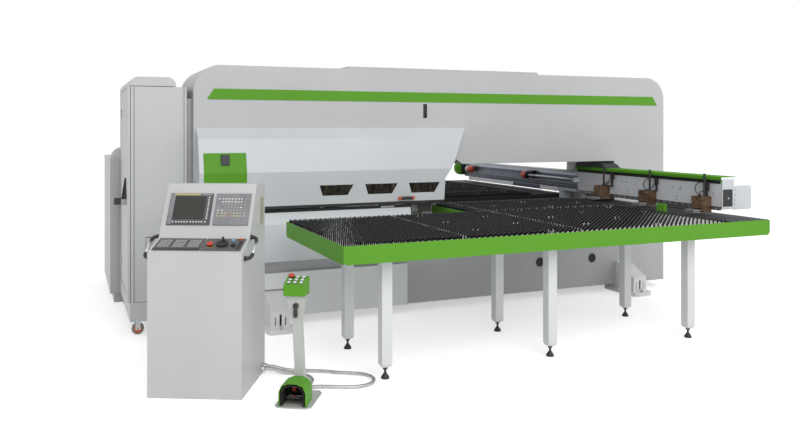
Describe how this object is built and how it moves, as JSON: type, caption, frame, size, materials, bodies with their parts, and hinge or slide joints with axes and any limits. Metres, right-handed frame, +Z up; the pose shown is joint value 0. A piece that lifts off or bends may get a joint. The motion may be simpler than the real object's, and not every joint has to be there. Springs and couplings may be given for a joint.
{
  "type": "cnc turret punch press",
  "caption": "Turret punch press with an O-shaped frame, brush tables, clamping carriage, cabinets, console and foot pedal.",
  "frame": {"origin": "on the floor below the middle of the whole machine, cords left out", "axes": "+X along the frame from the turret side to the feed side, +Y through the throat to the back, +Z up"},
  "size_m": [5.86, 5.7182, 2.392],
  "materials": {
    "frame_paint": "light grey textured powder coat",
    "cover_paint": "cool white smooth powder coat",
    "green_paint": "leaf green smooth powder coat",
    "smoked_glass": "smoked clear sheet",
    "black_rubber": "black rubber and brush strip",
    "black_plastic": "black moulded plastic",
    "machined_steel": "ground steel",
    "dark_steel": "blackened steel",
    "zinc_steel": "zinc plated steel",
    "bristle": "dark grey nylon bristle",
    "bronze": "brown anodised blocks",
    "red_rubber": "red polyurethane",
    "red_plastic": "red moulded mushroom head",
    "grey_plastic": "grey moulded panel",
    "caster_rubber": "grey rubber tread"
  },
  "bodies": {
    "machine": {"main_frame": "frame_paint", "frame_top_cover": "frame_paint", "frame_feet": "frame_paint", "stripe_panel": "green_paint", "upper_cover": "cover_paint", "cover_windows": "smoked_glass", "lower_cover": "cover_paint", "base_panel": "cover_paint", "slot_guard": "black_rubber", "rear_cover": "cover_paint", "front_table": "green_paint", "rear_table": "green_paint", "table_legs": "cover_paint", "levelling_feet": "black_plastic", "front_brushes": "bristle", "rear_brushes": "bristle", "y_rails": "machined_steel", "cabinet_body": "frame_paint", "cabinet_caps": "frame_paint", "aux_cabinet": "frame_paint", "caster_forks": "zinc_steel", "console_body": "frame_paint", "lcd_unit": "grey_plastic", "key_units": "grey_plastic", "switch_panel": "grey_plastic", "console_handles": "zinc_steel", "pedal_stand": "frame_paint", "button_box": "green_paint", "pedal_shroud": "green_paint", "conduit_loop": "zinc_steel", "conduit_short": "zinc_steel"},
    "bridge": {"x_beam": "frame_paint", "beam_rails": "machined_steel", "beam_end_cap": "green_paint", "beam_bumpers": "red_rubber", "carriage_drive": "cover_paint"},
    "carriage": {"carriage_plate": "cover_paint", "carriage_cover": "green_paint", "clamp_rail": "dark_steel"},
    "punch_turret": {"upper_turret": "machined_steel"},
    "die_turret": {"lower_turret": "machined_steel"},
    "striker": {"ram": "machined_steel"},
    "hatch": {"hatch_door": "green_paint"},
    "latch": {"hatch_latch": "black_plastic"},
    "door": {"cabinet_door": "frame_paint"},
    "door_handle": {"cabinet_handle": "black_plastic"},
    "stop_button": {"e_stop": "red_plastic"},
    "pulse_wheel": {"handwheel": "black_plastic"},
    "pedal": {"treadle": "grey_plastic"},
    "lever": {"post_lever": "black_plastic"},
    "workholder_1": {"clamp_1": "bronze"},
    "jaw_1": {"clamp_jaw_1": "machined_steel"},
    "workholder_2": {"clamp_2": "bronze"},
    "jaw_2": {"clamp_jaw_2": "machined_steel"},
    "workholder_3": {"clamp_3": "bronze"},
    "jaw_3": {"clamp_jaw_3": "machined_steel"},
    "wheel_1": {"caster_wheel_1": "caster_rubber"},
    "wheel_2": {"caster_wheel_2": "caster_rubber"},
    "wheel_3": {"caster_wheel_3": "caster_rubber"},
    "wheel_4": {"caster_wheel_4": "caster_rubber"}
  },
  "joints": [
    {"name": "y_travel", "type": "slide", "parent": "machine", "child": "bridge", "axis": [1, 0, 0], "range_m": [-1.55, 0]},
    {"name": "x_travel", "type": "slide", "parent": "bridge", "child": "carriage", "axis": [0, 1, 0], "range_m": [0, 1.335]},
    {"name": "clamp_1_shift", "type": "slide", "parent": "carriage", "child": "workholder_1", "axis": [0, 1, 0], "range_m": [-0.1, 0.25]},
    {"name": "jaw_1_bite", "type": "hinge", "parent": "workholder_1", "child": "jaw_1", "pos_m": [1.988, -2.184, 1.052], "axis": [0, 1, 0], "range_deg": [-2.5, 6]},
    {"name": "clamp_2_shift", "type": "slide", "parent": "carriage", "child": "workholder_2", "axis": [0, 1, 0], "range_m": [-0.25, 0.25]},
    {"name": "jaw_2_bite", "type": "hinge", "parent": "workholder_2", "child": "jaw_2", "pos_m": [1.988, -1.459, 1.052], "axis": [0, 1, 0], "range_deg": [-2.5, 6]},
    {"name": "clamp_3_shift", "type": "slide", "parent": "carriage", "child": "workholder_3", "axis": [0, 1, 0], "range_m": [-0.25, 0.25]},
    {"name": "jaw_3_bite", "type": "hinge", "parent": "workholder_3", "child": "jaw_3", "pos_m": [1.988, -0.734, 1.052], "axis": [0, 1, 0], "range_deg": [-2.5, 6]},
    {"name": "punch_turret_spin", "type": "hinge", "parent": "machine", "child": "punch_turret", "pos_m": [-0.56, -0.217, 1.225], "axis": [0, 0, 1], "continuous": true},
    {"name": "die_turret_spin", "type": "hinge", "parent": "machine", "child": "die_turret", "pos_m": [-0.56, -0.217, 0.95], "axis": [0, 0, 1], "continuous": true},
    {"name": "ram_stroke", "type": "slide", "parent": "machine", "child": "striker", "axis": [0, 0, -1], "range_m": [0, 0.037]},
    {"name": "hatch_swing", "type": "hinge", "parent": "machine", "child": "hatch", "pos_m": [-2.065, -0.86255, 1.32], "axis": [1, 0, 0], "range_deg": [0, 100]},
    {"name": "latch_turn", "type": "hinge", "parent": "hatch", "child": "latch", "pos_m": [-2.065, -0.84168, 1.5205], "axis": [0, -0.9651, 0.2617], "range_deg": [0, 90]},
    {"name": "door_swing", "type": "hinge", "parent": "machine", "child": "door", "pos_m": [-2.8433, 0.476, 1.2], "axis": [0, 0, -1], "range_deg": [0, 110]},
    {"name": "door_handle_turn", "type": "hinge", "parent": "door", "child": "door_handle", "pos_m": [-2.854, -0.227, 1.139], "axis": [1, 0, 0], "range_deg": [0, 90]},
    {"name": "wheel_1_roll", "type": "hinge", "parent": "machine", "child": "wheel_1", "pos_m": [-2.764, -0.522, 0.052], "axis": [0, 1, 0], "continuous": true},
    {"name": "wheel_2_roll", "type": "hinge", "parent": "machine", "child": "wheel_2", "pos_m": [-2.428, -0.522, 0.052], "axis": [0, 1, 0], "continuous": true},
    {"name": "wheel_3_roll", "type": "hinge", "parent": "machine", "child": "wheel_3", "pos_m": [-2.764, 0.688, 0.052], "axis": [0, 1, 0], "continuous": true},
    {"name": "wheel_4_roll", "type": "hinge", "parent": "machine", "child": "wheel_4", "pos_m": [-2.428, 0.688, 0.052], "axis": [0, 1, 0], "continuous": true},
    {"name": "stop_push", "type": "slide", "parent": "machine", "child": "stop_button", "axis": [0.1355, 0.2719, -0.9527], "range_m": [0, 0.005]},
    {"name": "pulse_wheel_spin", "type": "hinge", "parent": "machine", "child": "pulse_wheel", "pos_m": [-2.36229, -2.36711, 1.01312], "axis": [-0.1355, -0.2719, 0.9527], "continuous": true},
    {"name": "pedal_press", "type": "hinge", "parent": "machine", "child": "pedal", "pos_m": [-1.92531, -2.68277, 0.036], "axis": [0.8572, -0.515, 0], "range_deg": [0, 10], "stiffness_Nm_per_rad": 6, "springref_deg": -17.19},
    {"name": "lever_turn", "type": "hinge", "parent": "machine", "child": "lever", "pos_m": [-1.93708, -2.66404, 0.622], "axis": [0.515, 0.8572, 0], "range_deg": [-60, 60]}
  ],
  "couplings": [
    {"joint": "die_turret_spin", "follows": "punch_turret_spin", "ratio": 1}
  ]
}
